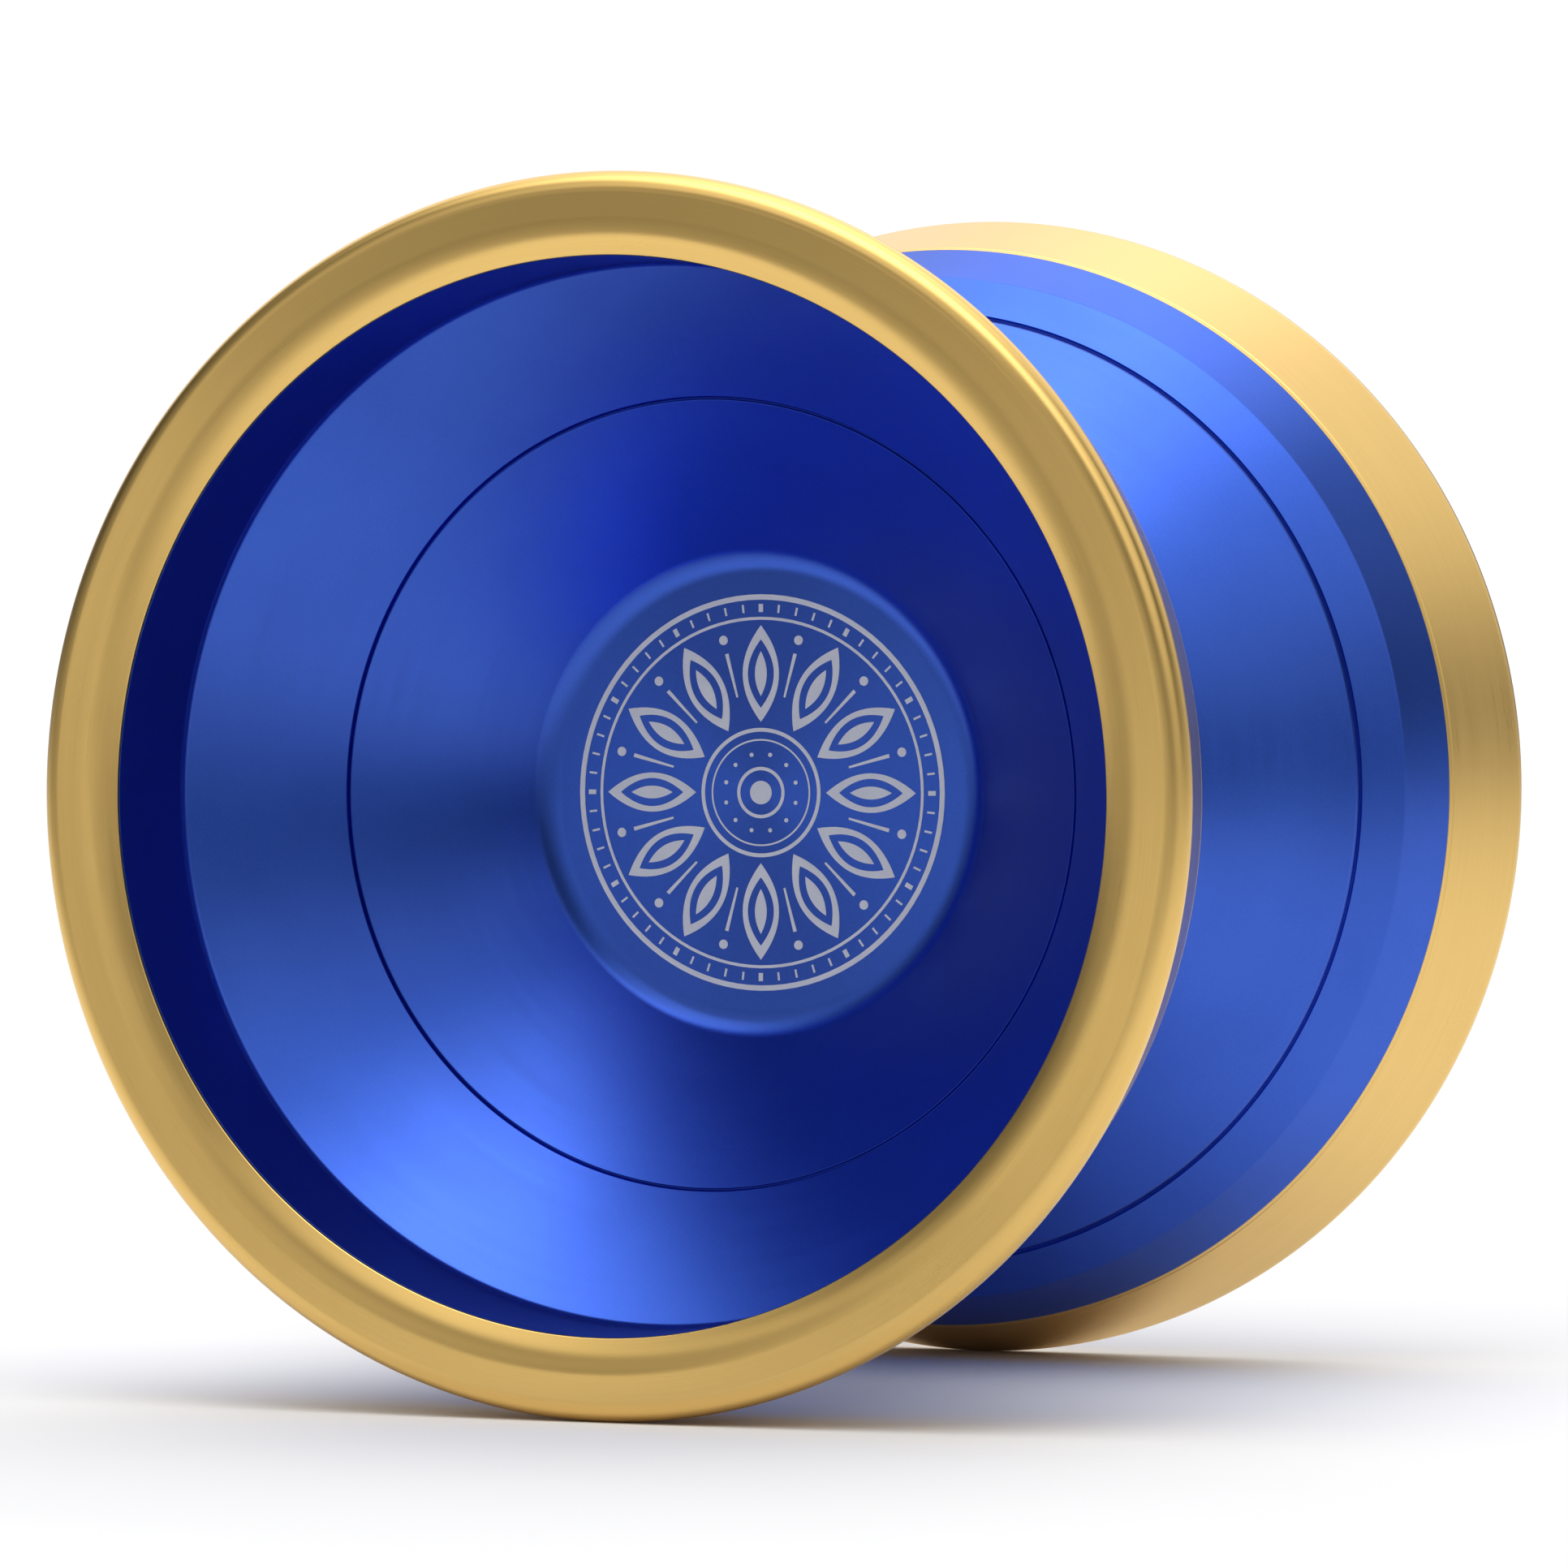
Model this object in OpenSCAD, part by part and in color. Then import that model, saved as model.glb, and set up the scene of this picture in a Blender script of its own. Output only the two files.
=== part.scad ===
// Two-metal ball-bearing yo-yo: two anodised aluminium halves with heavy plated steel rim rings,
// held together by a threaded axle through a shielded ball bearing that carries the string.
// Frame: origin at the bearing's centre, +Y along the axle from the left half to the right half, +Z up.
// Outlines are [radius, distance outwards from the mid-plane] and are turned about the axle.

/* [Overall] */
// Diameter over the rim rings
overall_d = 56; // [47:0.1:67]
// Width over the two rim faces
overall_w = 47.8; // [40:0.1:57]
// String gap between the walls of the two halves
gap = 4.6; // [3.9:0.05:5.5]

/* [Rim ring] */
// Width of the ring's outer face, from its inside edge to its crown
rim_face_w = 3.8; // [3.2:0.1:4.6]
// Radius of the round crown between face and tread
crown_r = 1; // [0.6:0.05:1.4]
// Width of the bevel round the inside of the face
bevel_w = 1; // [0.4:0.1:1.2]
// Depth of that bevel
bevel_h = 0.5; // [0.3:0.05:0.6]
// Length of the ring along the axle, from its seat to its outer face
ring_len = 6.8; // [5.6:0.1:8.2]
// How far the ring's seat edge lies inside the largest radius
ring_taper = 1.64; // [1.3:0.02:1.96]
// Width of the seat at the ring's thin end
ring_seat_w = 0.4; // [0.3:0.05:0.5]
// Thickness of the ring's lip at its inside edge
lip_t = 0.2; // [0.1:0.05:0.3]
// Radius that softens the ring's sharp edges
ring_edge_r = 0.12; // [0.05:0.01:0.15]

/* [Cup] */
// Depth of the straight wall of the cup below the rim face
cup_wall_h = 7; // [6:0.1:8.4]
// Distance of the turned line in the dish from the cup's wall
dish_line_inset = 6; // [3:0.1:8]
// Width of the turned line in the dish
dish_line_w = 0.16; // [0.1:0.02:0.4]
// Radius in the corner of the wall and the dish
cup_corner_r = 0.6; // [0.2:0.1:1.2]

/* [Hub] */
// Radius where the dish meets the flat hub face
hub_r = 10.9; // [9.6:0.1:11.8]
// Radius that blends the hub face into the dish
hub_blend_r = 1.9; // [0.5:0.1:2.4]
// Thickness left between the axle hole and the hub face
hub_floor = 0.7; // [0.6:0.05:1]

/* [Catch zone] */
// Width of the steeper facet next to the ring
facet_w = 1.46; // [1.2:0.02:1.76]
// Rise of that facet along the axle
facet_h = 2.3; // [1.9:0.05:2.8]
// Distance of the turned line in the catch zone from the facet
catch_line_inset = 1.8; // [1:0.1:3]
// Width of the flat lip between the pad groove and the cone
catch_lip_w = 0.5; // [0.4:0.05:0.7]
// Radius that blends the lip into the cone
catch_blend_r = 1; // [0.3:0.1:1.4]
// Radius that blends the cone into the facet
facet_blend_r = 0.5; // [0.2:0.1:0.8]
// Width of the turned line in the catch zone
catch_line_w = 0.26; // [0.1:0.02:0.4]
// Depth of both turned lines
line_h = 0.14; // [0.05:0.01:0.25]

/* [Response pad] */
// Width of the pad, from its inside to its outside
pad_w = 2.3; // [1.9:0.05:2.8]
// Thickness of the pad
pad_t = 1.2; // [1:0.05:1.4]
// How far the pad's face lies below the wall
pad_recess = 0.1; // [0:0.05:0.2]
// Width of the lip between the bearing's pocket and the pad groove
pad_lip_w = 0.55; // [0.4:0.05:0.7]

/* [Bearing] */
// Outside diameter
bearing_d = 12.7; // [11.4:0.05:15.3]
// Bore
bearing_bore = 6.35; // [5.7:0.05:6.7]
// Width
bearing_w = 4.7625; // [4:0.0025:5.8]
// Diameter of a ball
ball_d = 1.5875; // [1.35:0.0025:1.6]
// Radial gap between the lands of the two races
land_gap = 0.95; // [0.8:0.01:1.1]
// Thickness of a shield
shield_t = 0.2; // [0.1:0.01:0.25]
// Depth of a shield's face below the race's side
shield_inset = 0.43; // [0.36:0.01:0.5]
// Radial width of the step that a shield sits on
shield_step = 0.4; // [0.3:0.01:0.5]
// Radial width of a snap ring
snap_w = 0.5; // [0.4:0.05:0.6]
// Depth of the groove that holds a snap ring
snap_groove_h = 0.2; // [0.15:0.01:0.25]
// Thickness of a snap ring
snap_t = 0.22; // [0.15:0.01:0.25]
// Gap in a snap ring, in degrees
snap_gap_deg = 24; // [10:1:40]
// Radial thickness of the cage
cage_t = 0.5; // [0.35:0.01:0.52]
// Width of the cage along the axle
cage_w = 2.3; // [2:0.05:2.4]

/* [Axle] */
// Thread diameter over its crests
axle_d = 3.95; // [3.4:0.05:4.3]
// Thread pitch
axle_pitch = 0.7; // [0.6:0.01:0.84]
// Radial depth of the thread
thread_h = 0.31; // [0.25:0.01:0.4]
// Length
axle_len = 8; // [7:0.1:9.6]
// Size of the hexagon socket across its flats
socket_af = 2; // [1.6:0.05:2.2]
// Depth of the socket
socket_h = 2; // [1.6:0.1:2.4]

/* [Fits] */
// Radial clearance of the axle's thread in the half that screws off
thread_fit = 0.05; // [0.02:0.01:0.1]
// Radial clearance of the bearing's bore on the posts
post_fit = 0.015; // [0.01:0.005:0.05]
// Clearance between a half's shoulder and the inner race
seat_fit = 0.01; // [0.005:0.005:0.05]
// Radial clearance of a ball in its raceways
ball_fit = 0.02; // [0.01:0.005:0.05]
// Clearance of a ball in its cage pocket
pocket_fit = 0.05; // [0.03:0.01:0.08]
// Radial clearance round the bearing's outer race
race_fit = 0.3; // [0.25:0.01:0.5]
// Clearance beside the outer race, the shields and the snap rings
side_fit = 0.5; // [0.3:0.05:0.6]
// Radial clearance of a shield from the inner race
shield_fit = 0.12; // [0.08:0.01:0.2]
// Clearance round a pad in its groove
pad_fit = 0.05; // [0:0.01:0.1]
// Half of the gap between the ends of the two posts
post_gap = 0.2; // [0.1:0.05:0.4]
// Clearance beyond each end of the axle
axle_end_fit = 0.35; // [0.2:0.05:0.5]

/* [Hidden] */

ball_count = 8;         // the balls are listed one by one in NODES
left = -1;              // direction outwards from the mid-plane, along Y
right = 1;
arc_steps = 6;          // straight steps in a blended corner
edge_chamfer = 0.15;    // broken edges of turned steel parts
race_conformity = 1.04; // a raceway's radius over the ball's radius
cut_over = 1;           // how far a cutting shape runs past what it cuts
root_share = 0.44;      // half width of a thread ring at its root, in pitches
crest_share = 0.1;      // half width of a thread ring at its crest, in pitches
$fn = 96;

// Rim ring and cup, from the overall sizes inwards
outer_r = overall_d / 2;
face_s = overall_w / 2;
cup_r = outer_r - rim_face_w;
seat_r = outer_r - ring_taper - ring_seat_w;
seat_s = face_s - ring_len;
flange_end_s = face_s - bevel_h - lip_t;
cup_floor_s = face_s - cup_wall_h;
ring_edge_s = [outer_r - ring_taper, seat_s];
crown_centre = [outer_r - crown_r, face_s - crown_r];

// Hub, from the axle outwards
axle_r = axle_d / 2;
axle_hole_s = axle_len / 2 + axle_end_fit;
hub_s = axle_hole_s + hub_floor;

// Bearing seat and string gap
wall_s = gap / 2;
post_r = bearing_bore / 2 - post_fit;
shoulder_s = bearing_w / 2 + seat_fit;
relief_s = max(shoulder_s, wall_s) + side_fit;
pocket_r = bearing_d / 2 + race_fit;
pad_groove_r = pocket_r + pad_lip_w;
pad_groove_end_r = pad_groove_r + pad_w + 2 * pad_fit;
pad_floor_s = wall_s + pad_recess + pad_t;
cone_r = pad_groove_end_r + catch_lip_w;
facet_r = outer_r - ring_taper - facet_w;
facet_s = seat_s - facet_h;

// Inside the bearing
race_half_w = bearing_w / 2;
pitch_r = (bearing_d + bearing_bore) / 4;
ball_r = ball_d / 2;
raceway_r = ball_r * race_conformity;
inner_land_r = pitch_r - land_gap / 2;
outer_land_r = pitch_r + land_gap / 2;
shield_end_s = race_half_w - shield_inset;
shield_step_s = shield_end_s - shield_t;
shield_seat_r = outer_land_r + shield_step;
snap_groove_r = shield_seat_r + snap_groove_h;

// Point q turned by an angle about the origin
function turned(q, angle) = [q.x * cos(angle) - q.y * sin(angle), q.x * sin(angle) + q.y * cos(angle)];

// Unit vector along v
function unit(v) = v / norm(v);

// Round corner of radius r at b, on the way from a to c
function corner(a, b, c, r) =
    let (u = unit(a - b),
         v = unit(c - b),
         half = acos(u * v) / 2,
         centre = b + unit(u + v) * r / sin(half),
         start = b + u * r / tan(half) - centre,
         sweep = -sign(cross(u, v)) * (180 - 2 * half))
    [for (i = [0:arc_steps]) centre + turned(start, sweep * i / arc_steps)];

// Outline with corners [radius, distance, blend]; a blend of 0 keeps the corner sharp
function blended(points) =
    let (n = len(points))
    [for (i = [0:n - 1])
        let (a = points[(i + n - 1) % n], b = points[i], c = points[(i + 1) % n])
        each b.z == 0 ? [[b.x, b.y]] : corner([a.x, a.y], [b.x, b.y], [c.x, c.y], b.z)];

// Distance of the dish from the mid-plane at radius r
function dish_s(r) = hub_s + (r - hub_r) * (cup_floor_s - hub_s) / (cup_r - hub_r);

// Distance of the catch cone from the mid-plane at radius r
function cone_s(r) = wall_s + (r - cone_r) * (facet_s - wall_s) / (facet_r - cone_r);

// Turned V line of width w at radius r, in a surface at distances s0 and s1 at its edges, h deep
function line_points(r, w, s0, s1, h) = [
    [r - w / 2, s0, 0],
    [r, (s0 + s1) / 2 + h, 0],
    [r + w / 2, s1, 0]];

// Reversed list
function backwards(list) = [for (i = [len(list) - 1:-1:0]) list[i]];

// Turned line in the dish, from the cup's side inwards
dish_line_r = cup_r - dish_line_inset;
dish_line = backwards(line_points(dish_line_r, dish_line_w, dish_s(dish_line_r - dish_line_w / 2),
                                  dish_s(dish_line_r + dish_line_w / 2), -line_h));

// Turned line in the catch cone
catch_line_r = facet_r - catch_line_inset;
catch_line = line_points(catch_line_r, catch_line_w, cone_s(catch_line_r - catch_line_w / 2),
                         cone_s(catch_line_r + catch_line_w / 2), line_h);

// Half body, clockwise from the end of its post out to the ring seat and back along the cup
function body_outline(hole_r) = blended(concat(
    [[hole_r, post_gap, 0],
     [post_r - edge_chamfer, post_gap, 0],
     [post_r, post_gap + edge_chamfer, 0],
     [post_r, shoulder_s, 0],
     [inner_land_r - edge_chamfer, shoulder_s, 0],
     [inner_land_r - edge_chamfer, relief_s, 0],
     [pocket_r, relief_s, 0],
     [pocket_r, wall_s, 0],
     [pad_groove_r, wall_s, 0],
     [pad_groove_r, pad_floor_s, 0],
     [pad_groove_end_r, pad_floor_s, 0],
     [pad_groove_end_r, wall_s, 0],
     [cone_r, wall_s, catch_blend_r]],
    catch_line,
    [[facet_r, facet_s, facet_blend_r],
     [ring_edge_s.x, ring_edge_s.y, 0],
     [seat_r, seat_s, 0],
     [seat_r, flange_end_s, 0],
     [cup_r, flange_end_s, 0],
     [cup_r, cup_floor_s, cup_corner_r]],
    dish_line,
    [[hub_r, hub_s, hub_blend_r],
     [0, hub_s, 0],
     [0, axle_hole_s, 0],
     [hole_r, axle_hole_s, 0]]));

// Rim ring: seat, tread, crown, face and bevel
crown_reach = crown_centre - ring_edge_s;
crown_start = -(atan2(crown_reach.x, crown_reach.y) + asin(crown_r / norm(crown_reach)));
crown_points = [for (i = [0:2 * arc_steps])
    let (q = crown_centre + turned([crown_r, 0], crown_start + (90 - crown_start) * i / (2 * arc_steps)))
    [q.x, q.y, 0]];
ring_outline = blended(concat(
    [[seat_r, seat_s, 0], [ring_edge_s.x, ring_edge_s.y, 0]],
    crown_points,
    [[cup_r + bevel_w, face_s, ring_edge_r],
     [cup_r, face_s - bevel_h, ring_edge_r / 2],
     [cup_r, flange_end_s, 0],
     [seat_r, flange_end_s, 0]]));

// Raceway arc in a land at radius land, from its -Y edge to its +Y edge
function raceway(land, bottom, sense) =
    let (centre = bottom - sense * raceway_r,
         reach = acos(sense * (land - centre) / raceway_r))
    [for (i = [-arc_steps:arc_steps])
        let (angle = reach * i / arc_steps)
        [centre + sense * raceway_r * cos(angle), raceway_r * sin(angle)]];

// Turns an outline about the axle, with its distances running outwards on one side
module turned_part(side) {
    rotate([-90 * side, 0, 0]) rotate_extrude() children();
}

module half_body(side, hole_r) {
    color("royalblue") turned_part(side) polygon(body_outline(hole_r));
}

module rim(side) {
    color("goldenrod") turned_part(side) polygon(ring_outline);
}

module response_pad(side) {
    color("white") turned_part(side)
        translate([pad_groove_r + pad_fit, wall_s + pad_recess]) square([pad_w, pad_t]);
}

// Outline of one thread ring at distance s, from its root to its crest and back
function thread_ring(s) = [
    [axle_r - thread_h, s - axle_pitch * root_share],
    [axle_r, s - axle_pitch * crest_share],
    [axle_r, s + axle_pitch * crest_share],
    [axle_r - thread_h, s + axle_pitch * root_share]];

// Threaded rod with a hexagon socket in its right-hand end
module axle() {
    thread_count = floor(axle_len / axle_pitch) - 1;
    thread_start = -(thread_count - 1) * axle_pitch / 2;
    root_r = axle_r - thread_h;
    rings = [for (i = [0:thread_count - 1]) each thread_ring(thread_start + i * axle_pitch)];
    color("dimgray") difference() {
        turned_part(right) polygon(concat(
            [[0, -axle_len / 2], [root_r, -axle_len / 2]],
            rings,
            [[root_r, axle_len / 2], [0, axle_len / 2]]));
        rotate([-90, 0, 0]) translate([0, 0, axle_len / 2 - socket_h])
            cylinder(h = socket_h + cut_over, d = socket_af / cos(30), $fn = 6);
    }
}

module bearing_inner_race() {
    bore_r = bearing_bore / 2;
    color("lightsteelblue") turned_part(right) polygon(concat(
        [[bore_r + edge_chamfer, race_half_w], [bore_r, race_half_w - edge_chamfer],
         [bore_r, edge_chamfer - race_half_w], [bore_r + edge_chamfer, -race_half_w],
         [inner_land_r, -race_half_w]],
        raceway(inner_land_r, pitch_r - ball_r - ball_fit, -1),
        [[inner_land_r, race_half_w]]));
}

// Step and groove for a shield and its snap ring, from the land out to the race's side
function shield_seat(side) = [
    [outer_land_r, side * shield_step_s],
    [shield_seat_r, side * shield_step_s],
    [shield_seat_r, side * shield_end_s],
    [snap_groove_r, side * shield_end_s],
    [snap_groove_r, side * (shield_end_s + snap_t)],
    [shield_seat_r, side * (shield_end_s + snap_t)],
    [shield_seat_r, side * race_half_w]];

module bearing_outer_race() {
    race_r = bearing_d / 2;
    color("lightsteelblue") turned_part(right) polygon(concat(
        raceway(outer_land_r, pitch_r + ball_r + ball_fit, 1),
        shield_seat(right),
        [[race_r - edge_chamfer, race_half_w], [race_r, race_half_w - edge_chamfer],
         [race_r, edge_chamfer - race_half_w], [race_r - edge_chamfer, -race_half_w]],
        backwards(shield_seat(left))));
}

// Places its child at the centre of ball number i
module at_ball(i) {
    rotate([0, 360 * (i - 1) / ball_count, 0]) translate([0, 0, pitch_r]) children();
}

module bearing_ball(i) {
    color("silver") at_ball(i) sphere(r = ball_r);
}

module bearing_cage() {
    color("darkkhaki") difference() {
        turned_part(right) translate([pitch_r - cage_t / 2, -cage_w / 2]) square([cage_t, cage_w]);
        for (i = [1:ball_count]) at_ball(i) sphere(r = ball_r + pocket_fit);
    }
}

module bearing_shield(side) {
    color("gainsboro") turned_part(side)
        translate([inner_land_r + shield_fit, shield_step_s])
            square([shield_seat_r - inner_land_r - shield_fit, shield_t]);
}

// Snap ring, open over snap_gap_deg at the top
module snap_ring(side) {
    color("gray") difference() {
        turned_part(side) translate([snap_groove_r - snap_w, shield_end_s]) square([snap_w, snap_t]);
        rotate([90, 0, 0]) linear_extrude(height = bearing_w + cut_over, center = true)
            polygon([
                [0, 0],
                turned([0, bearing_d], snap_gap_deg / 2),
                turned([0, bearing_d], -snap_gap_deg / 2)]);
    }
}

half_body(left, axle_r);  // left_body
half_body(right, axle_r + thread_fit);  // right_body
rim(left);  // left_rim
rim(right);  // right_rim
response_pad(left);  // left_response_pad
response_pad(right);  // right_response_pad
axle();
bearing_inner_race();
bearing_outer_race();
bearing_cage();
bearing_shield(left);  // left_bearing_shield
bearing_shield(right);  // right_bearing_shield
snap_ring(left);  // left_snap_ring
snap_ring(right);  // right_snap_ring
bearing_ball(1);  // bearing_ball_1
bearing_ball(2);  // bearing_ball_2
bearing_ball(3);  // bearing_ball_3
bearing_ball(4);  // bearing_ball_4
bearing_ball(5);  // bearing_ball_5
bearing_ball(6);  // bearing_ball_6
bearing_ball(7);  // bearing_ball_7
bearing_ball(8);  // bearing_ball_8
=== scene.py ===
"""Looks of the two-metal yo-yo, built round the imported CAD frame. Lengths are in mm until a mesh is made."""

import math

import bpy
import numpy as np
from mathutils import Matrix, Vector


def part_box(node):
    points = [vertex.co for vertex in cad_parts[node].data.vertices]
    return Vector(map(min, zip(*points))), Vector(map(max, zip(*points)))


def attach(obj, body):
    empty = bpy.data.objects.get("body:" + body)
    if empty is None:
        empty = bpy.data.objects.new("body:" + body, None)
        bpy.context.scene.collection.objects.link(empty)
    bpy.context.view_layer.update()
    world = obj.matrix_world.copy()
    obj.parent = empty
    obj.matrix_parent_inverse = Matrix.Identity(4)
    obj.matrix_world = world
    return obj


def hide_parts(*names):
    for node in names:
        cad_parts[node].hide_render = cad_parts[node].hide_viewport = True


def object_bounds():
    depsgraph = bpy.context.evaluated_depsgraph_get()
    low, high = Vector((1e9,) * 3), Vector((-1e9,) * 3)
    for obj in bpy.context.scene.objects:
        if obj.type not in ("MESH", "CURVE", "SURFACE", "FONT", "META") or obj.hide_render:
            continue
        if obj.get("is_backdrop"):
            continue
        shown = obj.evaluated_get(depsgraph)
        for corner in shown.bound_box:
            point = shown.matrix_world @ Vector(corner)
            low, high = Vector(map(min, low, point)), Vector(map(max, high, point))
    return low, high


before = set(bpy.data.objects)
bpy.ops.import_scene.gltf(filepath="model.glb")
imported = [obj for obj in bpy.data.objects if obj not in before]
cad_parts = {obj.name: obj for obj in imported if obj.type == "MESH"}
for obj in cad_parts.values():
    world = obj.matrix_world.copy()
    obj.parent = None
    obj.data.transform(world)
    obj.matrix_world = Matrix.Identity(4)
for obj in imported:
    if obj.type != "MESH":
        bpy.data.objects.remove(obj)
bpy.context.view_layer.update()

MM = 0.001
LEFT, RIGHT = -1, 1
SIDES = {"left": LEFT, "right": RIGHT}
SMOOTH = -1  # marks an outline point that lies on a smooth curve
SEGMENTS = 360  # round the halves and rings
FINE_SEGMENTS = 180  # round the bearing and the pads
BALL_SEGMENTS = 64
ARC_STEP = math.radians(7)
SHARP_ANGLE = math.radians(30)
TINY = 1e-9  # below this, in mm, an outline point is on the axle's centre line


def cad(node):
    """Lowest and highest corner of a CAD node, in mm."""
    low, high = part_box(node)
    return low / MM, high / MM


# Sizes read from the frame
ring_low, ring_high = cad("right_rim")
outer_r, face_s, seat_s = ring_high.x, ring_high.y, ring_low.y
body_low, body_high = cad("right_body")
seat_edge_r, flange_end_s, post_gap = body_high.x, body_high.y, body_low.y
pad_low, pad_high = cad("right_response_pad")
pad_outer_r, pad_in_s, pad_out_s = pad_high.x, pad_low.y, pad_high.y
_, race_high = cad("bearing_outer_race")
race_r, race_half_w = race_high.x, race_high.y
_, inner_race_high = cad("bearing_inner_race")
inner_land_r = inner_race_high.x
shield_low, shield_high = cad("right_bearing_shield")
shield_seat_r, shield_step_s, shield_end_s = shield_high.x, shield_low.y, shield_high.y
_, snap_high = cad("right_snap_ring")
snap_groove_r = snap_high.x
ball_low, ball_high = cad("bearing_ball_1")
ball_r = (ball_high.x - ball_low.x) / 2
pitch_r = (ball_high.z + ball_low.z) / 2
_, axle_high = cad("axle")
axle_r, axle_end_s = axle_high.x, axle_high.y

# Sizes of the half bodies and rings that no box gives, the same as in the CAD
CUP_R = 24.2
SEAT_R = 25.96
CUP_FLOOR_S = 16.9
CUP_CORNER_R = 0.6
DISH_LINE_R, CATCH_LINE_R = 18.2, 23.1
HUB_R, HUB_S, HUB_BLEND_R = 10.9, 5.05, 1.9
FACET_R, FACET_S, FACET_BLEND_R = 24.9, 14.8, 0.5
CONE_R = 10.1
WALL_S = 2.3
PAD_GROOVE_R, PAD_GROOVE_END_R, PAD_FLOOR_S = 7.2, 9.6, 3.6
PAD_INNER_R = 7.25
POCKET_R, RELIEF_S = 6.65, 2.891
SHOULDER_S = 2.391
POST_R = 3.16
AXLE_HOLE_S = 4.35
THREAD_FIT = 0.05
CROWN_R = 1.0
BEVEL_W, BEVEL_H = 1.0, 0.5
THIN_EDGE_R = 0.12

# Details set for the look, which differ from the CAD's or aren't in it: the shoulder that the inner race
# rests on, the turned lines, edge and blend radii, and the round between a ring's face and its bevel
SHOULDER_R = 4.1875
DISH_LINE_W, DISH_LINE_H = 0.17, 0.24
CATCH_LINE_W, CATCH_LINE_H = 0.25, 0.17
LINE_LIP_R = 0.015
CONE_BLEND_R = 0.5
LIP_R = 3.2
SEAM_LIP_W, SEAM_LINE_W, SEAM_LINE_H = 0.22, 0.14, 0.05
EDGE_R = 0.08
SEAT_EDGE_R = 0.05
CRISP_EDGE_R = 0.03

# Sizes of the bearing and axle that no box gives
EDGE_CHAMFER = 0.1
OUTER_LAND_R = 5.2375
OUTER_EDGE_R = 0.2
RACE_BORE_R = 3.175
BALL_FIT = 0.02
SHIELD_FIT = 0.12
RACEWAY_R = ball_r * 1.04
RACEWAY_STEPS = 10
SNAP_T, SNAP_W, SNAP_GAP = 0.22, 0.5, math.radians(24)
BALL_COUNT = 8
PITCH, THREAD_H = 0.7, 0.31
CREST_SHARE, FLANK_SHARE = 0.16, 0.68
AXLE_CHAMFER = 0.35
SOCKET_AF, SOCKET_H = 2.0, 2.0
SOCKET_MOUTH_H, SOCKET_TIP_H, SOCKET_FLARE = 0.12, 0.3, 1 / 0.96


# ---------------------------------------------------------------- outlines


def unit(v):
    return v / np.hypot(*v)


def outward(a, b):
    """Outward normal of an outline's edge, for an outline that runs anticlockwise."""
    d = unit(b - a)
    return np.array([d[1], -d[0]])


def rounded(before, corner, after, radius):
    """Points of the arc that rounds a corner, with their normals."""
    to_before, to_after = unit(before - corner), unit(after - corner)
    half = math.acos(np.clip(to_before @ to_after, -1, 1)) / 2
    reach = radius / math.tan(half)
    centre = corner + unit(to_before + to_after) * radius / math.sin(half)
    start, end = corner + to_before * reach, corner + to_after * reach
    first = math.atan2(*(start - centre)[::-1])
    sweep = (math.atan2(*(end - centre)[::-1]) - first + math.pi) % (2 * math.pi) - math.pi
    steps = max(2, math.ceil(abs(sweep) / ARC_STEP))
    angles = first + sweep * np.arange(steps + 1) / steps
    rays = np.stack([np.cos(angles), np.sin(angles)], 1)
    sense = math.copysign(1, rays[0] @ outward(before, corner))
    return [(centre + radius * ray, sense * ray) for ray in rays]


def outline(points, side):
    """Corners (r, s, blend) to anticlockwise (r, y) points, each with a normal before and after it."""
    given = [(np.array([p[0], side * p[1]]), p[2] if len(p) > 2 else 0) for p in points]
    xy = np.array([p for p, _ in given])
    area = np.sum(xy[:, 0] * np.roll(xy[:, 1], -1) - xy[:, 1] * np.roll(xy[:, 0], -1))
    if area < 0:
        given.reverse()
    made = []
    for i, (corner, blend) in enumerate(given):
        before, after = given[i - 1][0], given[(i + 1) % len(given)][0]
        n_in, n_out = outward(before, corner), outward(corner, after)
        if blend > 0:
            made += [(p, n, n) for p, n in rounded(before, corner, after, blend)]
        elif blend == SMOOTH:
            n = unit(n_in + n_out)
            made.append((corner, n, n))
        else:
            made.append((corner, n_in, n_out))
    return made


# ---------------------------------------------------------------- meshes


def new_object(name, verts, faces, normals=None):
    """Mesh object from mm coordinates. Normals, if given, are one for each face corner."""
    mesh = bpy.data.meshes.new(name)
    mesh.from_pydata((np.asarray(verts, float) * MM).tolist(), [], faces)
    mesh.polygons.foreach_set("use_smooth", [True] * len(faces))
    if normals is None:
        mesh.set_sharp_from_angle(angle=SHARP_ANGLE)
    else:
        mesh.normals_split_custom_set(normals)
    mesh.update()
    obj = bpy.data.objects.new(name, mesh)
    bpy.context.scene.collection.objects.link(obj)
    return obj


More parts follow.
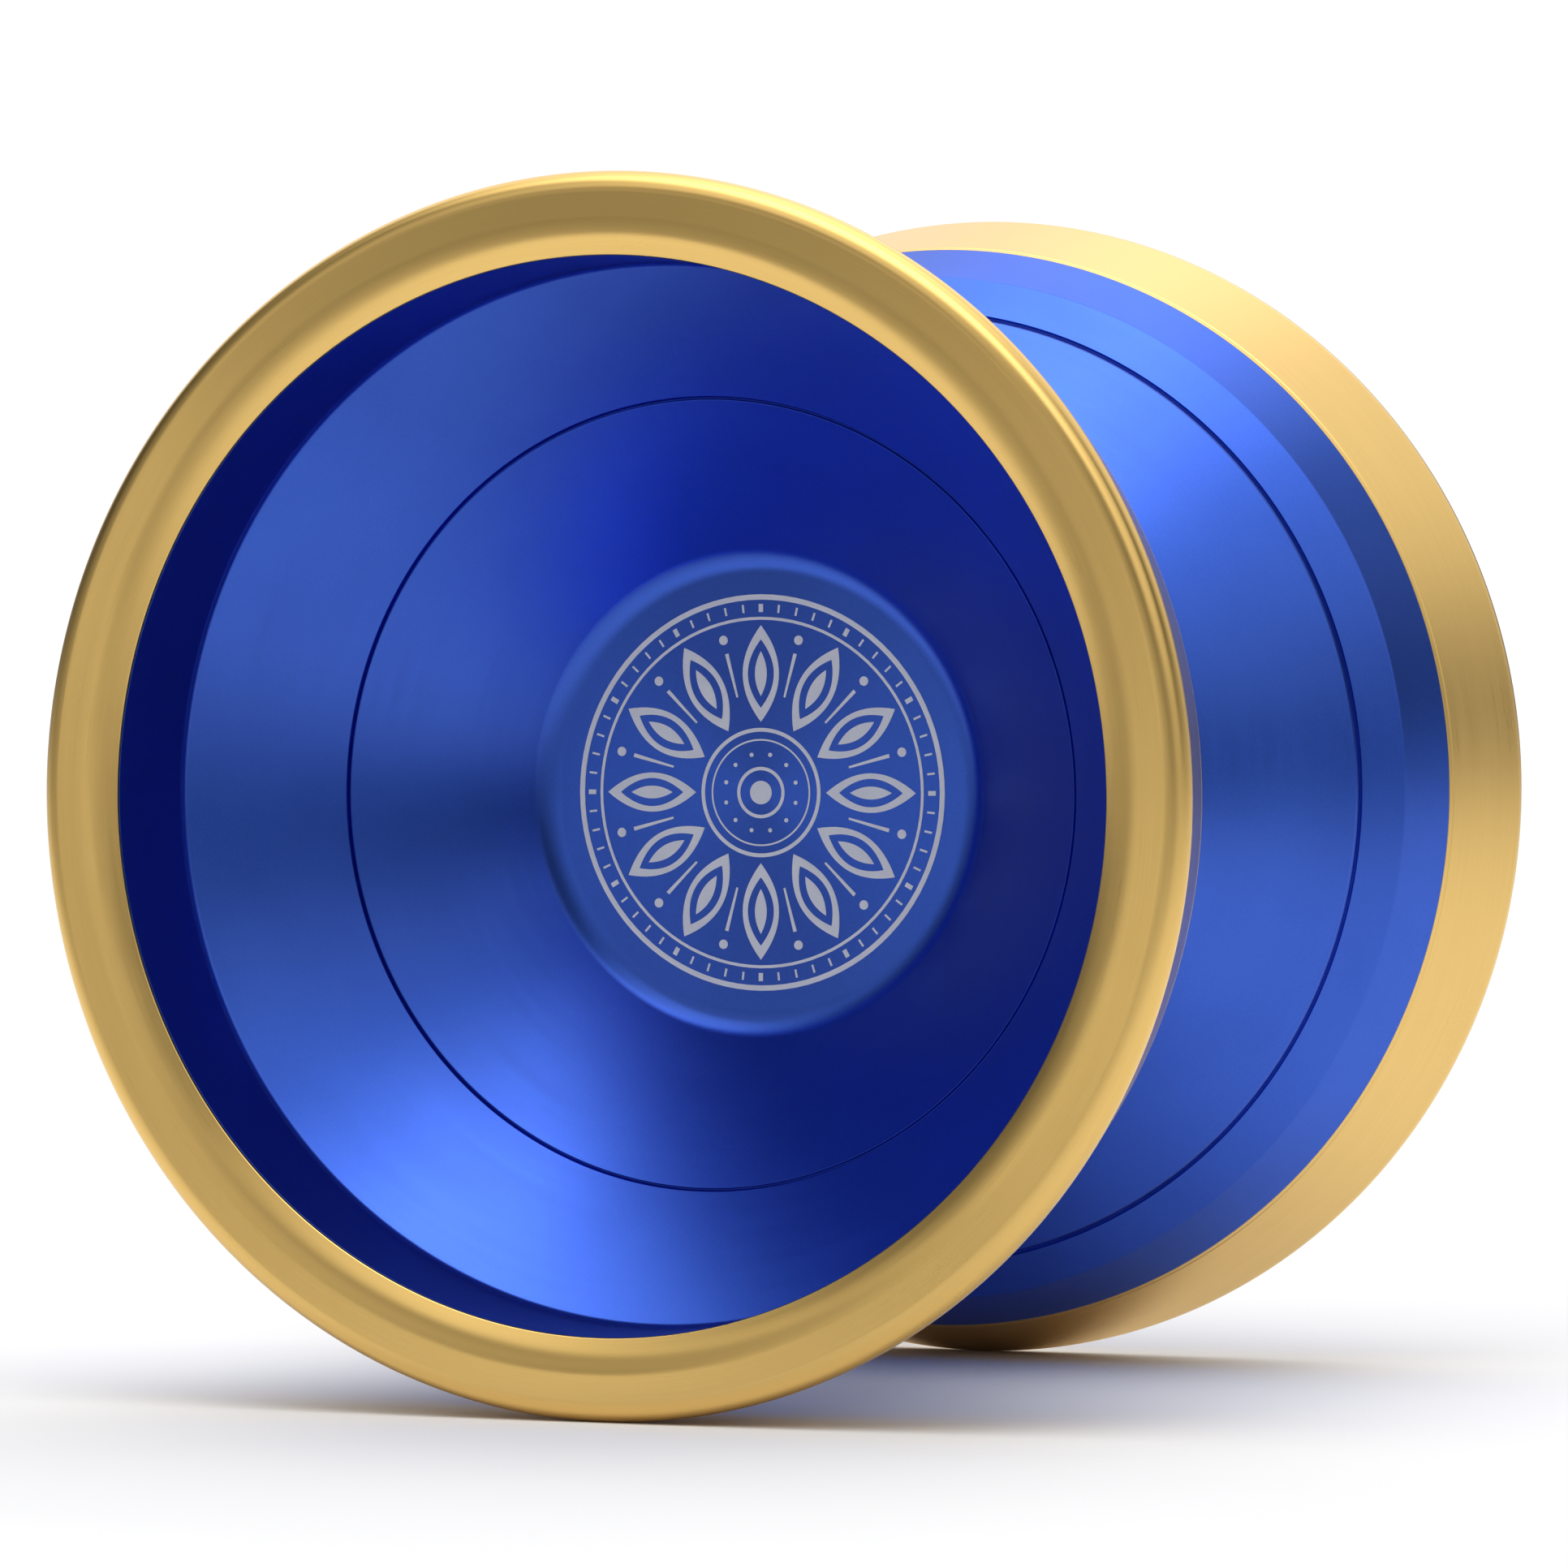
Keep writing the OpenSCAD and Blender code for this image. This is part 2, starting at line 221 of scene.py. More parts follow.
def lathe(name, points, side=RIGHT, segments=SEGMENTS, centre=(0, 0, 0)):
    """Turns an outline about an axle through centre, with exact normals."""
    profile = outline(points, side)
    count = len(profile)
    phi = 2 * math.pi * np.arange(segments) / segments
    spokes = np.stack([np.cos(phi), np.zeros(segments), np.sin(phi)], 1)
    radius = np.array([p[0] for p, _, _ in profile])
    along = np.array([p[1] for p, _, _ in profile])
    verts, index = [], np.zeros((segments, count), int)
    for i in range(count):
        if radius[i] < TINY:
            index[:, i] = len(verts)
            verts.append((0, along[i], 0))
            continue
        index[:, i] = len(verts) + np.arange(segments)
        verts += (spokes * radius[i] + [0, along[i], 0]).tolist()
    faces, normals = [], []
    for i in range(count):
        k = (i + 1) % count
        if radius[i] < TINY and radius[k] < TINY:
            continue
        n_i, n_k = profile[i][2], profile[k][1]
        start = (spokes * n_i[0] + [0, n_i[1], 0]).tolist()
        end = (spokes * n_k[0] + [0, n_k[1], 0]).tolist()
        for j in range(segments):
            m = (j + 1) % segments
            ring = [(index[j, i], start[j]), (index[j, k], end[j])]
            if radius[k] >= TINY:
                ring.append((index[m, k], end[m]))
            if radius[i] >= TINY:
                ring.append((index[m, i], start[m]))
            faces.append([int(v) for v, _ in ring])
            normals += [n for _, n in ring]
    return new_object(name, np.array(verts, float) + np.array(centre, float), faces, normals)


def skin_faces(stations, count, closed, offset=0):
    """Faces of a tube of stations, each a loop of count points."""
    faces = []
    for j in range(stations if closed else stations - 1):
        a, b = offset + j * count, offset + (j + 1) % stations * count
        for i in range(count):
            k = (i + 1) % count
            faces.append([a + i, a + k, b + k, b + i])
    if not closed:
        faces.append([offset + i for i in reversed(range(count))])
        faces.append([offset + (stations - 1) * count + i for i in range(count)])
    return faces


def facing_out(verts, faces):
    """The faces, all turned over if the closed mesh they make is inside out."""
    v = np.asarray(verts, float)
    volume = 0
    for f in faces:
        for a, b in zip(f[1:-1], f[2:]):
            volume += np.dot(v[f[0]], np.cross(v[a], v[b]))
    return faces if volume > 0 else [f[::-1] for f in faces]


class Shells:
    """Closed shells gathered into one mesh."""

    def __init__(self):
        self.verts, self.faces = [], []

    def add(self, verts, faces):
        start = len(self.verts)
        self.verts += [list(map(float, v)) for v in verts]
        self.faces += [[start + i for i in f] for f in facing_out(verts, faces)]

    def tube(self, stations, closed):
        rings = np.asarray(stations, float)
        self.add(rings.reshape(-1, 3), skin_faces(len(rings), rings.shape[1], closed))

    def slab(self, loop, low, high):
        """Plate from a convex loop of (x, z), between two distances along the axle."""
        self.tube([[(x, y, z) for x, z in loop] for y in (low, high)], closed=False)

    def band(self, outer, inner, low, high):
        """Plate between two loops of (x, z) with the same number of points."""
        sections = [
            [(a[0], low, a[1]), (a[0], high, a[1]), (b[0], high, b[1]), (b[0], low, b[1])]
            for a, b in zip(outer, inner)
        ]
        self.tube(sections, closed=True)

    def make(self, name):
        return new_object(name, self.verts, self.faces)


def turned(x, z, angle):
    c, s = math.cos(angle), math.sin(angle)
    return c * x - s * z, s * x + c * z


# ---------------------------------------------------------------- half bodies and rings


def dish_s(r):
    return HUB_S + (r - HUB_R) * (CUP_FLOOR_S - HUB_S) / (CUP_R - HUB_R)


def cone_s(r):
    return WALL_S + (r - CONE_R) * (FACET_S - WALL_S) / (FACET_R - CONE_R)


def turned_line(r, width, surface, depth):
    """Narrow V groove cut into a surface of revolution."""
    low, high = r - width / 2, r + width / 2
    return [
        (low, surface(low), LINE_LIP_R),
        (r, surface(r) + depth, LINE_LIP_R),
        (high, surface(high), LINE_LIP_R),
    ]


def body_points(hole_r):
    """Half body from its post, past the pad groove, wall, facet and cup, to the hub and axle hole."""
    edge = EDGE_R
    return [
        (hole_r + EDGE_CHAMFER, post_gap),
        (POST_R - EDGE_CHAMFER, post_gap),
        (POST_R, post_gap + EDGE_CHAMFER),
        (POST_R, SHOULDER_S),
        (SHOULDER_R, SHOULDER_S, edge),
        (SHOULDER_R, RELIEF_S),
        (POCKET_R, RELIEF_S),
        (POCKET_R, WALL_S, edge),
        (PAD_GROOVE_R, WALL_S, edge),
        (PAD_GROOVE_R, PAD_FLOOR_S),
        (PAD_GROOVE_END_R, PAD_FLOOR_S),
        (PAD_GROOVE_END_R, WALL_S, edge),
        (CONE_R, WALL_S, CONE_BLEND_R),
        *turned_line(CATCH_LINE_R, CATCH_LINE_W, cone_s, CATCH_LINE_H),
        (FACET_R, FACET_S, FACET_BLEND_R),
        (seat_edge_r, seat_s, CRISP_EDGE_R),
        (SEAT_R, seat_s),
        (SEAT_R, flange_end_s),
        (CUP_R, flange_end_s, CRISP_EDGE_R),
        (CUP_R, CUP_FLOOR_S, CUP_CORNER_R),
        *turned_line(DISH_LINE_R, DISH_LINE_W, dish_s, -DISH_LINE_H)[::-1],
        (HUB_R, HUB_S, HUB_BLEND_R),
        (0, HUB_S),
        (0, AXLE_HOLE_S),
        (hole_r, AXLE_HOLE_S),
        (hole_r, post_gap + EDGE_CHAMFER),
    ]


def crown_corner():
    """Radius at which the tread's line, which touches the crown, meets the ring's face, and its slope."""
    edge = np.array([seat_edge_r, seat_s])
    centre = np.array([outer_r - CROWN_R, face_s - CROWN_R])
    reach = centre - edge
    tilt = math.atan2(reach[0], reach[1]) + math.asin(CROWN_R / np.hypot(*reach))
    slope = math.tan(tilt)
    return edge[0] + (face_s - edge[1]) * slope, slope


def ring_points():
    """Ring with a thin line turned beside its inner edge, a rounded crown and a bevel into the cup."""
    corner_r, slope = crown_corner()

    def tread_r(s):
        return seat_edge_r + (s - seat_s) * slope

    start, end = seat_s + SEAM_LIP_W, seat_s + SEAM_LIP_W + SEAM_LINE_W
    middle = (start + end) / 2
    return [
        (SEAT_R, seat_s),
        (seat_edge_r, seat_s, SEAT_EDGE_R),
        (tread_r(start), start, CRISP_EDGE_R),
        (tread_r(middle) - SEAM_LINE_H, middle, CRISP_EDGE_R),
        (tread_r(end), end, CRISP_EDGE_R),
        (corner_r, face_s, CROWN_R),
        (CUP_R + BEVEL_W, face_s, LIP_R),
        (CUP_R, face_s - BEVEL_H, THIN_EDGE_R),
        (CUP_R, flange_end_s, CRISP_EDGE_R),
        (SEAT_R, flange_end_s),
    ]


def pad_points():
    """Pad with a slightly crowned face and well rounded edges."""
    inner, middle = PAD_INNER_R, (PAD_INNER_R + pad_outer_r) / 2
    crown, crown_blend_r, edge = 0.06, 6, 0.3
    return [
        (inner, pad_out_s, EDGE_R),
        (inner, pad_in_s + crown, edge),
        (middle, pad_in_s, crown_blend_r),
        (pad_outer_r, pad_in_s + crown, edge),
        (pad_outer_r, pad_out_s, EDGE_R),
    ]


# ---------------------------------------------------------------- bearing


def raceway(land, bottom, sense):
    """Arc of a raceway cut into a land, from its -Y edge to its +Y edge."""
    centre = bottom - sense * RACEWAY_R
    reach = math.acos(sense * (land - centre) / RACEWAY_R)
    angles = [reach * i / RACEWAY_STEPS for i in range(-RACEWAY_STEPS, RACEWAY_STEPS + 1)]
    arc = [(centre + sense * RACEWAY_R * math.cos(a), RACEWAY_R * math.sin(a), SMOOTH) for a in angles]
    arc[0], arc[-1] = arc[0][:2], arc[-1][:2]  # the two ends are sharp
    return arc


def inner_race_points():
    bore, half, edge = RACE_BORE_R, race_half_w, EDGE_CHAMFER
    return [
        (bore + edge, half, EDGE_R / 2),
        (bore, half - edge, EDGE_R / 2),
        (bore, edge - half, EDGE_R / 2),
        (bore + edge, -half, EDGE_R / 2),
        (inner_land_r, -half, EDGE_R),
        *raceway(inner_land_r, pitch_r - ball_r - BALL_FIT, -1),
        (inner_land_r, half, EDGE_R),
    ]


def shield_seat(side):
    """Step in the outer race that takes a shield, and the groove for its snap ring."""
    return [
        (OUTER_LAND_R, side * shield_step_s, EDGE_R / 2),
        (shield_seat_r, side * shield_step_s),
        (shield_seat_r, side * shield_end_s),
        (snap_groove_r, side * shield_end_s),
        (snap_groove_r, side * (shield_end_s + SNAP_T)),
        (shield_seat_r, side * (shield_end_s + SNAP_T)),
        (shield_seat_r, side * race_half_w, EDGE_R / 2),
    ]


def outer_race_points():
    return [
        *raceway(OUTER_LAND_R, pitch_r + ball_r + BALL_FIT, 1),
        *shield_seat(RIGHT),
        (race_r, race_half_w, OUTER_EDGE_R),
        (race_r, -race_half_w, OUTER_EDGE_R),
        *shield_seat(LEFT)[::-1],
    ]


def shield_points():
    """Stamped shield: a flat seat round its edge, a step, a recessed web and a raised inner lip."""
    inner = inner_land_r + SHIELD_FIT
    low, high = shield_step_s, shield_end_s
    web_outer, web_inner, web_drop, web_lift = 5.2, 4.6, 0.05, 0.01
    slope, run_out = 0.04, 0.1
    soft, lip, bend = 0.04, 0.05, 0.06
    return [
        (shield_seat_r, low, soft),
        (shield_seat_r, high, soft),
        (web_outer + slope, high, bend),
        (web_outer - slope, high - web_drop, bend),
        (web_inner + slope, high - web_drop, bend),
        (web_inner - slope, high, bend),
        (inner, high, lip),
        (inner, low, lip),
        (web_inner, low, bend),
        (web_inner + run_out, low + web_lift, bend),
        (web_outer - run_out, low + web_lift, bend),
        (web_outer, low, bend),
    ]


def ball_points():
    steps = 32
    angles = [math.pi * i / steps - math.pi / 2 for i in range(1, steps)]
    arc = [(ball_r * math.cos(a), ball_r * math.sin(a), SMOOTH) for a in angles]
    return [(0, -ball_r, SMOOTH), *arc, (0, ball_r, SMOOTH)]


def snap_ring(name, side):
    """Strip with chamfered corners, bent into a ring that is open at the top."""
    outer, inner = snap_groove_r, snap_groove_r - SNAP_W
    low, high, soft = shield_end_s, shield_end_s + SNAP_T, 0.05
    section = [
        (outer, low + soft), (outer, high - soft), (outer - soft, high), (inner + soft, high),
        (inner, high - soft), (inner, low + soft), (inner + soft, low), (outer - soft, low),
    ]
    first = math.pi / 2 + SNAP_GAP / 2
    sweep = 2 * math.pi - SNAP_GAP
    stations = []
    for j in range(FINE_SEGMENTS + 1):
        a = first + sweep * j / FINE_SEGMENTS
        stations.append([(r * math.cos(a), side * s, r * math.sin(a)) for r, s in section])
    shells = Shells()
    shells.tube(stations, closed=False)
    return shells.make(name)


def cage(name):
    """Ribbon cage: two pressed strips that wrap the balls, with rivet heads between the balls."""
    half_w, thick, gap, soft = 0.33, 0.12, 0.06, 0.1
    wrap_r = ball_r + gap
    turn = 2 * math.pi / BALL_COUNT
    shells = Shells()
    for side in SIDES.values():
        stations = []
        for j in range(SEGMENTS):
            a = 2 * math.pi * j / SEGMENTS
            off = abs((a + turn / 2) % turn - turn / 2) * pitch_r
            lift = math.sqrt(max(0, wrap_r**2 - off**2))
            near = (lift + math.hypot(lift, soft)) / 2
            low, high = side * near, side * (near + thick)
            inner, outer = pitch_r - half_w, pitch_r + half_w
            section = [(inner, low), (outer, low), (outer, high), (inner, high)]
            stations.append([(r * math.sin(a), y, r * math.cos(a)) for r, y in section])
        shells.tube(stations, closed=True)
        for i in range(BALL_COUNT):
            a = turn * (i + 0.5)
            x, z = pitch_r * math.sin(a), pitch_r * math.cos(a)
            rivet(shells, x, z, side * (soft / 2 + thick), side)
    return shells.make(name)


def rivet(shells, x, z, y, side):
    """Domed rivet head, flat at the very top."""
    steps, corners, radius, height, flat_from = 6, 20, 0.2, 0.1, 0.95
    angles = [2 * math.pi * k / corners for k in range(corners)]
    stations = []
    for i in range(steps):
        t = flat_from * i / (steps - 1)
        r, rise = radius * math.sqrt(1 - t * t), height * t
        stations.append([(x + r * math.cos(a), y + side * rise, z + r * math.sin(a)) for a in angles])
    shells.tube(stations, closed=False)


# ---------------------------------------------------------------- axle


def thread_depth(turns):
    """Depth of the thread below its crest, from 0 to 1, over one turn of pitch."""
    offset = abs((turns + 0.5) % 1 - 0.5) * 2
    return min(1.0, max(0.0, (offset - CREST_SHARE) / FLANK_SHARE))


def axle(name):
    """Set screw with a helical thread, chamfered ends and a hexagon socket in its right-hand end."""
    columns, rows_per_pitch = 120, 14
    length = 2 * axle_end_s
    rows = math.ceil(length / PITCH * rows_per_pitch)
    angles = [2 * math.pi * i / columns for i in range(columns)]
    verts = []
    for j in range(rows + 1):
        y = -axle_end_s + length * j / rows
        cone = axle_r - AXLE_CHAMFER + min(y + axle_end_s, axle_end_s - y)
        for a in angles:
            r = axle_r - THREAD_H * thread_depth(y / PITCH - a / (2 * math.pi))
            r = min(r, cone)
            verts.append((r * math.cos(a), y, r * math.sin(a)))
    faces = skin_faces(rows + 1, columns, closed=False)[:-2]
    first_cap = len(verts)
    verts.append((0, -axle_end_s, 0))
    faces += [[first_cap, (i + 1) % columns, i] for i in range(columns)]
    rim = rows * columns
    for depth, flare in ((0, SOCKET_FLARE), (SOCKET_MOUTH_H, 1), (SOCKET_H, 1)):
        start = len(verts)
        for a in angles:
            from_flat = (a + math.pi / 6) % (math.pi / 3) - math.pi / 6
            r = SOCKET_AF / 2 / math.cos(from_flat) * flare
            verts.append((r * math.cos(a), axle_end_s - depth, r * math.sin(a)))
        for i in range(columns):
            k = (i + 1) % columns
            faces.append([rim + i, rim + k, start + k, start + i])
        rim = start
    tip = len(verts)
    verts.append((0, axle_end_s - SOCKET_H - SOCKET_TIP_H, 0))
    faces += [[tip, rim + i, rim + (i + 1) % columns] for i in range(columns)]
    shells = Shells()
    shells.add(verts, faces)
    return shells.make(name)


# ---------------------------------------------------------------- mark on the hub


def circle(radius, count=96, x=0.0, z=0.0):
    return [
        (x + radius * math.cos(2 * math.pi * i / count), z + radius * math.sin(2 * math.pi * i / count))
        for i in range(count)
    ]


def leaf(inner, outer, half_width, angle, steps=18):
    """Pointed leaf along a spoke, as a loop of (x, z)."""
    up = [i / steps for i in range(steps + 1)]
    right = [(inner + (outer - inner) * t, 4 * half_width * t * (1 - t)) for t in up]
    left = [(r, -w) for r, w in right[-2:0:-1]]
    return [turned(r, w, angle) for r, w in right + left]


def hub_mark(name, side):
    """Generic laser-cut rosette: rings, ticks, leaves and dots, just proud of the hub."""
    sunk, proud = 0.01, 0.02
    low, high = sorted((side * (HUB_S - sunk), side * (HUB_S + proud)))
    shells = Shells()
    for outer, inner in ((9.25, 9.0), (8.2, 8.06), (3.02, 2.84), (2.5, 2.42), (1.2, 1.04)):
        shells.band(circle(outer), circle(inner), low, high)
    shells.slab(circle(0.55, 48), low, high)
    ticks, tick_inner, tick_outer = 60, 8.42, 8.8
    for i in range(ticks):
        a = 2 * math.pi * i / ticks
        half = 0.11 if i % 5 == 0 else 0.05
        corners = [(tick_inner, -half), (tick_outer, -half), (tick_outer, half), (tick_inner, half)]
        shells.slab([turned(x, z, a) for x, z in corners], low, high)
    leaves = 12
    for i in range(leaves):
        a = 2 * math.pi * i / leaves
        between = a + math.pi / leaves
        shells.band(leaf(3.3, 7.8, 0.92, a), leaf(3.95, 7.15, 0.66, a), low, high)
        shells.slab(leaf(4.5, 6.6, 0.3, a), low, high)
        shells.slab(circle(0.22, 24, *turned(7.35, 0, between)), low, high)
        shells.slab(circle(0.1, 16, *turned(1.82, 0, between)), low, high)
        line = [(4.6, -0.05), (6.7, -0.09), (6.7, 0.09), (4.6, 0.05)]
        shells.slab([turned(x, z, between) for x, z in line], low, high)
    return shells.make(name)


# ---------------------------------------------------------------- materials


class Nodes:
    """Short names for the nodes of one material."""

    def __init__(self, name):
        self.material = bpy.data.materials.new(name)
        self.material.use_nodes = True
        self.tree = self.material.node_tree
        self.shader = self.tree.nodes["Principled BSDF"]
        self.point = self.add("ShaderNodeTexCoord").outputs["Object"]

    def add(self, kind, **settings):
        node = self.tree.nodes.new(kind)
        for key, value in settings.items():
            setattr(node, key, value)
        return node

    def link(self, source, target):
        self.tree.links.new(source, target)

    def math(self, operation, a, b=0.0):
        node = self.add("ShaderNodeMath", operation=operation)
        for socket, value in zip(node.inputs, (a, b)):
            if isinstance(value, (int, float)):
                socket.default_value = value
            else:
                self.link(value, socket)
        return node.outputs[0]

    def noise(self, vector, scale, detail=2.0, roughness=0.5):
        node = self.add("ShaderNodeTexNoise")
        node.inputs["Scale"].default_value = scale
        node.inputs["Detail"].default_value = detail
        node.inputs["Roughness"].default_value = roughness
        self.link(vector, node.inputs["Vector"])
        return node.outputs["Fac"]

    def between(self, factor, low, high, start=0.3, end=0.7):
        """Ramp from one number or colour to another as the factor goes from start to end."""
        if isinstance(low, (int, float)):
            node = self.add("ShaderNodeMapRange")
            values = (start, end, low, high)
            for key, value in zip(("From Min", "From Max", "To Min", "To Max"), values):
                node.inputs[key].default_value = value
            self.link(factor, node.inputs["Value"])
            return node.outputs["Result"]
        node = self.add("ShaderNodeValToRGB")
        for element, position, colour in zip(node.color_ramp.elements, (start, end), (low, high)):
            element.position = position
            element.color = (*colour, 1)
        self.link(factor, node.inputs["Fac"])
        return node.outputs["Color"]

    def set(self, **values):
        for key, value in values.items():
            self.shader.inputs[key.replace("_", " ")].default_value = value

    def colour(self, source):
        self.link(source, self.shader.inputs["Base Color"])

    def roughness(self, source):
        self.link(source, self.shader.inputs["Roughness"])

    def bump(self, height, strength, depth_mm):
        node = self.add("ShaderNodeBump")
        node.inputs["Strength"].default_value = strength
        node.inputs["Distance"].default_value = depth_mm * MM
        self.link(height, node.inputs["Height"])
        self.link(node.outputs["Normal"], self.shader.inputs["Normal"])

    def turning(self, stretch, fineness, lean):
        """Coordinates that draw noise out round the axle, as a lathe or a brush leaves its marks."""
        split = self.add("ShaderNodeSeparateXYZ")
        self.link(self.point, split.inputs[0])
        x, y, z = split.outputs
        squares = self.math("ADD", self.math("MULTIPLY", x, x), self.math("MULTIPLY", z, z))
        radius = self.math("SQRT", self.math("MAXIMUM", squares, 1e-12))
        depth = self.math("MULTIPLY", self.math("ABSOLUTE", y), lean)
        join = self.add("ShaderNodeCombineXYZ")
        self.link(self.math("MULTIPLY", self.math("DIVIDE", x, radius), stretch), join.inputs[0])
        self.link(self.math("MULTIPLY", self.math("DIVIDE", z, radius), stretch), join.inputs[1])
        across = self.math("MULTIPLY", self.math("SUBTRACT", radius, depth), fineness)
        self.link(across, join.inputs[2])
        return join.outputs[0]

    def round_axle(self):
        """Shading direction that runs round the axle, for brushed metal."""
        node = self.add("ShaderNodeTangent", direction_type="RADIAL", axis="Y")
        self.link(node.outputs[0], self.shader.inputs["Tangent"])


def anodised(name):
    """Bead-blasted aluminium under a clear blue anodised layer."""
    n = Nodes(name)
    n.set(Metallic=1.0, Coat_Weight=0.5, Coat_Roughness=0.3, Coat_IOR=1.5, Anisotropic=0.6)
    grain = n.noise(n.point, 9000, 3, 0.6)
    cloud = n.noise(n.point, 120, 3, 0.5)
    turned_marks = n.noise(n.turning(2.0, 6000, 0.6), 1, 2, 0.5)
    tone = n.math("ADD", n.math("MULTIPLY", grain, 0.45), n.math("MULTIPLY", cloud, 0.55))
    n.colour(n.between(tone, (0.025, 0.09, 0.51), (0.036, 0.118, 0.62)))
    wear = n.math("ADD", n.math("MULTIPLY", grain, 0.6), n.math("MULTIPLY", turned_marks, 0.4))
    n.roughness(n.between(wear, 0.29, 0.36))
    height = n.math("ADD", grain, n.math("MULTIPLY", turned_marks, 0.35))
    n.bump(height, 0.17, 0.012)
    n.round_axle()
    return n.material


def brushed(name, low, high, roughness, lines, strength, anisotropic, lean=0.8):
    """Turned and brushed metal, its lines running round the axle. Low and high are its colours."""
    stretch = 4.0
    n = Nodes(name)
    n.set(Metallic=1.0, Anisotropic=anisotropic)
    grooves = n.turning(stretch, lines, lean)
    fine = n.noise(grooves, 1, 4, 0.62)
    wide = n.noise(n.turning(stretch * 0.6, lines * 0.12, lean), 1, 2, 0.5)
    blotch = n.noise(n.point, 160, 2, 0.5)
    tone = n.math("ADD", n.math("MULTIPLY", fine, 0.5), n.math("MULTIPLY", wide, 0.25))
    tone = n.math("ADD", tone, n.math("MULTIPLY", blotch, 0.25))
    n.colour(n.between(tone, low, high, 0.35, 0.65))
    n.roughness(n.between(tone, *roughness, 0.35, 0.65))
    n.bump(fine, strength, 0.01)
    n.round_axle()
    return n.material


def polished(name, colour_low, colour_high, roughness):
    """Lapped steel with a faint haze."""
    n = Nodes(name)
    n.set(Metallic=1.0)
    haze = n.noise(n.point, 1800, 4, 0.6)
    n.colour(n.between(haze, colour_low, colour_high))
    n.roughness(n.between(haze, *roughness))
    n.bump(haze, 0.05, 0.004)
    return n.material


def silicone(name):
    """Cast silicone rubber, slightly milky and dusty."""
    n = Nodes(name)
    n.set(Subsurface_Weight=0.25, Subsurface_Scale=0.0008, Specular_IOR_Level=0.4)
    n.shader.inputs["Subsurface Radius"].default_value = (1.0, 0.9, 0.8)
    grain = n.noise(n.point, 5000, 3, 0.6)
    cloud = n.noise(n.point, 350, 3, 0.5)
    n.colour(n.between(cloud, (0.70, 0.70, 0.68), (0.80, 0.80, 0.78)))
    n.roughness(n.between(grain, 0.48, 0.62))
    n.bump(grain, 0.25, 0.02)
    return n.material


def laser_mark(name):
    """Anodising burnt off by a laser: a fine, pale, matt frost."""
    n = Nodes(name)
    n.set(Metallic=0.1)
    speckle = n.noise(n.point, 14000, 2, 0.6)
    cloud = n.noise(n.point, 900, 2, 0.5)
    tone = n.math("ADD", n.math("MULTIPLY", speckle, 0.6), n.math("MULTIPLY", cloud, 0.4))
    n.colour(n.between(tone, (0.80, 0.82, 0.86), (0.92, 0.93, 0.95)))
    n.roughness(n.between(speckle, 0.5, 0.68))
    n.bump(speckle, 0.2, 0.01)
    return n.material


BLUE = anodised("anodised_blue")
GOLD = brushed(
    "brushed_gold", (0.79, 0.525, 0.17), (0.85, 0.567, 0.187), roughness=(0.27, 0.31),
    lines=16000, strength=0.03, anisotropic=0.88,
)
STEEL = brushed(
    "ground_steel", (0.55, 0.55, 0.56), (0.68, 0.68, 0.69), roughness=(0.16, 0.26),
    lines=14000, strength=0.12, anisotropic=0.5, lean=0.0,
)
SHIELD = brushed(
    "stamped_steel", (0.5, 0.5, 0.51), (0.64, 0.64, 0.65), roughness=(0.24, 0.36),
    lines=9000, strength=0.15, anisotropic=0.4, lean=0.0,
)
SPRING = brushed(
    "spring_steel", (0.30, 0.30, 0.32), (0.42, 0.42, 0.44), roughness=(0.26, 0.38),
    lines=9000, strength=0.15, anisotropic=0.3, lean=0.0,
)
CAGE = brushed(
    "cage_steel", (0.48, 0.46, 0.42), (0.6, 0.58, 0.54), roughness=(0.3, 0.42),
    lines=5000, strength=0.2, anisotropic=0.2, lean=0.0,
)
AXLE = brushed(
    "rolled_steel", (0.42, 0.42, 0.44), (0.58, 0.58, 0.6), roughness=(0.22, 0.34),
    lines=8000, strength=0.15, anisotropic=0.3, lean=0.0,
)
BALL = polished("lapped_steel", (0.62, 0.62, 0.63), (0.72, 0.72, 0.73), roughness=(0.04, 0.09))
RUBBER = silicone("silicone_rubber")
MARK = laser_mark("laser_mark")


# ---------------------------------------------------------------- the pieces


def dress(obj, body, slot, material, *nodes):
    """Gives a piece its material and its body, and lets it stand for its CAD nodes. The slot argument is not
    used.
    """
    obj.data.materials.append(material)
    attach(obj, body)
    if nodes:
        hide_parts(*nodes)


for word, side in SIDES.items():
    half = f"{word}_half"
    hole_r = axle_r if side == LEFT else axle_r + THREAD_FIT
    body = lathe(f"{word}_body_turned", body_points(hole_r), side)
    dress(body, half, "blue_anodised", BLUE, f"{word}_body")
    rim = lathe(f"{word}_rim_brushed", ring_points(), side)
    dress(rim, half, "gold_rim", GOLD, f"{word}_rim")
    pad = lathe(f"{word}_pad_cast", pad_points(), side, FINE_SEGMENTS)
    dress(pad, half, "silicone", RUBBER, f"{word}_response_pad")
    dress(hub_mark(f"{word}_hub_mark", side), half, "blue_anodised", MARK)
    shield = lathe(f"{word}_shield_stamped", shield_points(), side, FINE_SEGMENTS)
    dress(shield, "bearing_outer", "shield_steel", SHIELD, f"{word}_bearing_shield")
    clip = snap_ring(f"{word}_snap_ring_bent", side)
    dress(clip, "bearing_outer", "spring_steel", SPRING, f"{word}_snap_ring")

